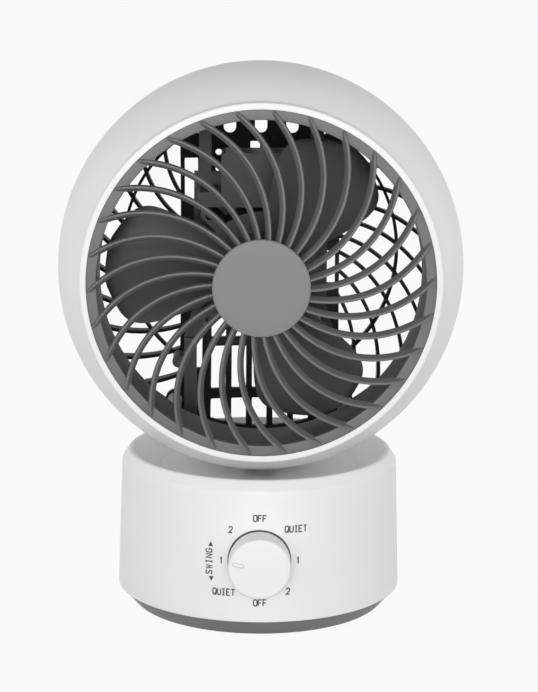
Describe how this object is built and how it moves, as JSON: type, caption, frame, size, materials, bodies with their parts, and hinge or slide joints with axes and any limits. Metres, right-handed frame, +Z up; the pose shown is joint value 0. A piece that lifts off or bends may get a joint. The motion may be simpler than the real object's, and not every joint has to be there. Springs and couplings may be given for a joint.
{
  "type": "air circulator fan",
  "caption": "Table-top air circulator: ball-shaped head with spiral guard on a round base with a rotary knob; the head tilts by hand and swings side to side.",
  "frame": {"origin": "centre of the bounding box on the floor; the swing axis stands 5.75 mm behind it", "axes": "+Z up, -Y the way the fan blows, +X to the right seen from the front"},
  "size_m": [0.208, 0.163, 0.2818],
  "materials": {
    "white_plastic": "satin white moulding",
    "guard_plastic": "mid grey moulding",
    "cap_plastic": "light grey satin",
    "dark_plastic": "dark grey moulding",
    "black_plastic": "near black moulding",
    "plate_plastic": "grey moulding",
    "nylon": "natural nylon",
    "rubber": "matt black rubber",
    "iron": "bare iron",
    "copper_wire": "enamelled copper wire, brass stands in",
    "bearing_brass": "sintered bronze",
    "steel": "zinc-plated steel"
  },
  "bodies": {
    "base": {"base_shell": "white_plastic", "top_cover": "white_plastic", "thrust_washer": "nylon", "base_plate": "plate_plastic", "foot_1": "rubber", "foot_2": "rubber", "foot_3": "rubber", "foot_4": "rubber", "base_screw_1": "steel", "base_screw_2": "steel", "base_screw_3": "steel", "base_screw_4": "steel", "ballast_weight": "iron", "swing_motor": "steel", "swing_screw_1": "steel", "swing_screw_2": "steel", "terminal_block": "nylon", "capacitor": "black_plastic", "cord_grommet": "rubber", "rotary_switch": "black_plastic", "switch_nut": "steel"},
    "turntable": {"turntable": "white_plastic", "tilt_shoe": "nylon", "shoe_screw": "steel", "swing_gear": "nylon", "gear_retainer": "steel", "retainer_screw": "steel"},
    "head": {"front_shell": "white_plastic", "rear_shell": "white_plastic", "head_screw_1": "steel", "head_screw_2": "steel", "head_screw_3": "steel", "head_screw_4": "steel", "front_guard": "guard_plastic", "guard_cap": "cap_plastic", "duct_ring": "dark_plastic", "motor_housing_front": "dark_plastic", "motor_housing_rear": "dark_plastic", "bearing_front": "bearing_brass", "bearing_rear": "bearing_brass", "stator_core": "iron", "stator_winding_front": "copper_wire", "stator_winding_rear": "copper_wire", "terminal_box": "dark_plastic", "motor_frame": "dark_plastic", "motor_screw_1": "steel", "motor_screw_2": "steel", "motor_screw_3": "steel", "motor_screw_4": "steel", "rear_grille": "black_plastic", "tilt_track": "dark_plastic"},
    "rotor": {"fan_rotor": "dark_plastic", "spinner_nut": "nylon", "motor_shaft": "steel", "motor_rotor": "iron"},
    "pinion": {"swing_pinion": "nylon", "pinion_shaft": "steel"},
    "knob": {"knob": "white_plastic", "knob_pointer": "guard_plastic", "knob_shaft": "steel"}
  },
  "joints": [
    {"name": "swing", "type": "hinge", "parent": "base", "child": "turntable", "pos_m": [0, 0.00575, 0.066], "axis": [0, 0, 1], "range_deg": [-35, 35]},
    {"name": "tilt", "type": "hinge", "parent": "turntable", "child": "head", "pos_m": [0, 0.00575, 0.17785], "axis": [-1, 0, 0], "range_deg": [-10, 15]},
    {"name": "fan_spin", "type": "hinge", "parent": "head", "child": "rotor", "pos_m": [0, 0.00575, 0.17785], "axis": [0, 1, 0], "continuous": true},
    {"name": "pinion_spin", "type": "hinge", "parent": "base", "child": "pinion", "pos_m": [0, 0.04475, 0.06], "axis": [0, 0, 1], "range_deg": [-120, 120]},
    {"name": "knob_turn", "type": "hinge", "parent": "base", "child": "knob", "pos_m": [0, 0.00575, 0.042], "axis": [0, -1, 0], "continuous": true}
  ],
  "couplings": [
    {"joint": "pinion_spin", "follows": "swing", "ratio": -3.3333}
  ]
}
